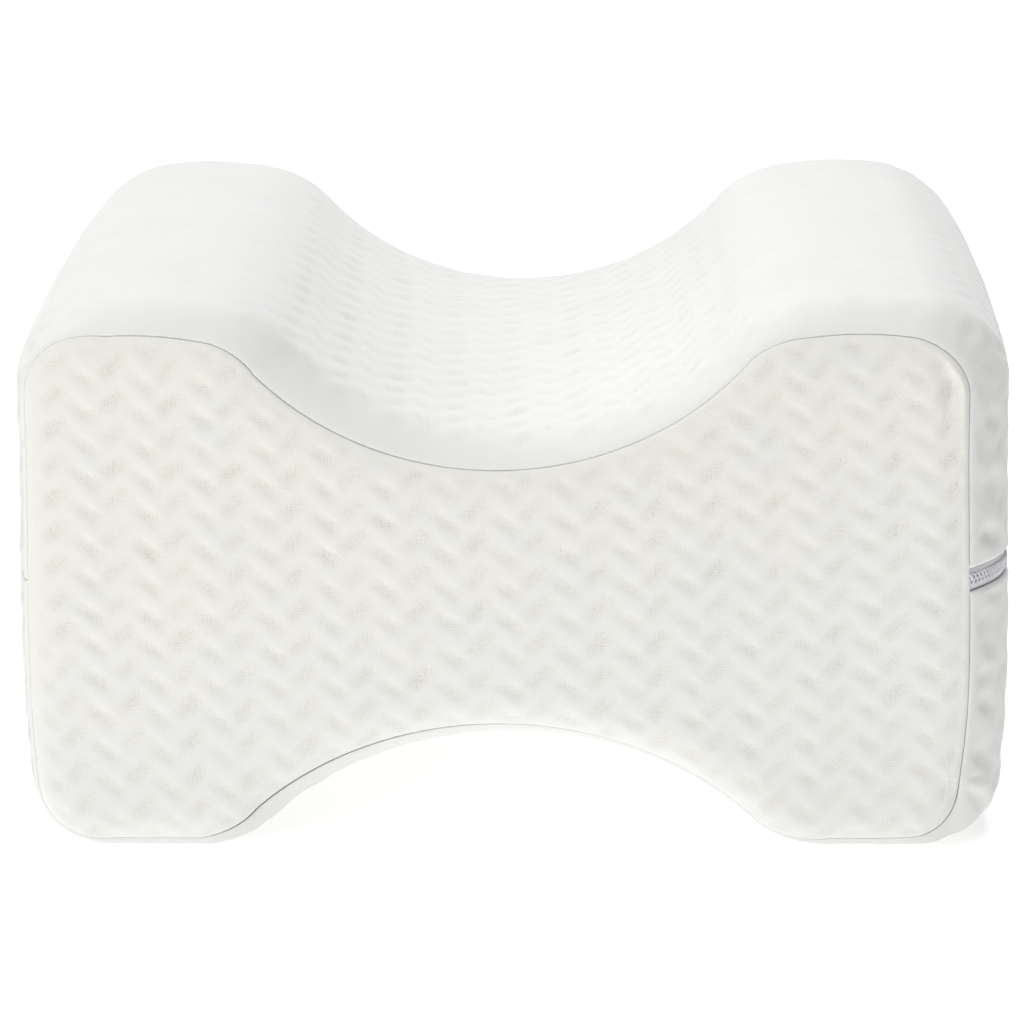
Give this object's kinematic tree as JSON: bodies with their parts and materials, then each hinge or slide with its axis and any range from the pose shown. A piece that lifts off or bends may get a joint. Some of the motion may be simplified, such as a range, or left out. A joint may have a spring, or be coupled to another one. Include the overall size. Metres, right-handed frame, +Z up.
{
  "type": "knee pillow",
  "caption": "Hourglass foam knee pillow with a leg saddle on top and an arch below, in a zipped knitted cover with a woven zigzag relief.",
  "frame": {"origin": "middle of the base, on the surface that the two feet stand on", "axes": "+X to the right-hand side with the zip, +Y from the front panel to the rear panel, +Z up to the leg saddle"},
  "size_m": [0.2564, 0.174, 0.1475],
  "materials": {
    "knit_cover": "soft white air-layer knit with a raised zigzag",
    "zip_tape": "smooth pale grey woven tape",
    "zip_coil": "pale grey nylon coil",
    "zip_slider": "pale grey enamel"
  },
  "bodies": {
    "root": {"filled_body": "knit_cover", "front_panel": "knit_cover", "rear_panel": "knit_cover", "zip_tape_upper": "zip_tape", "zip_tape_lower": "zip_tape", "zip_coil": "zip_coil", "zip_slider": "zip_slider"}
  },
  "joints": []
}
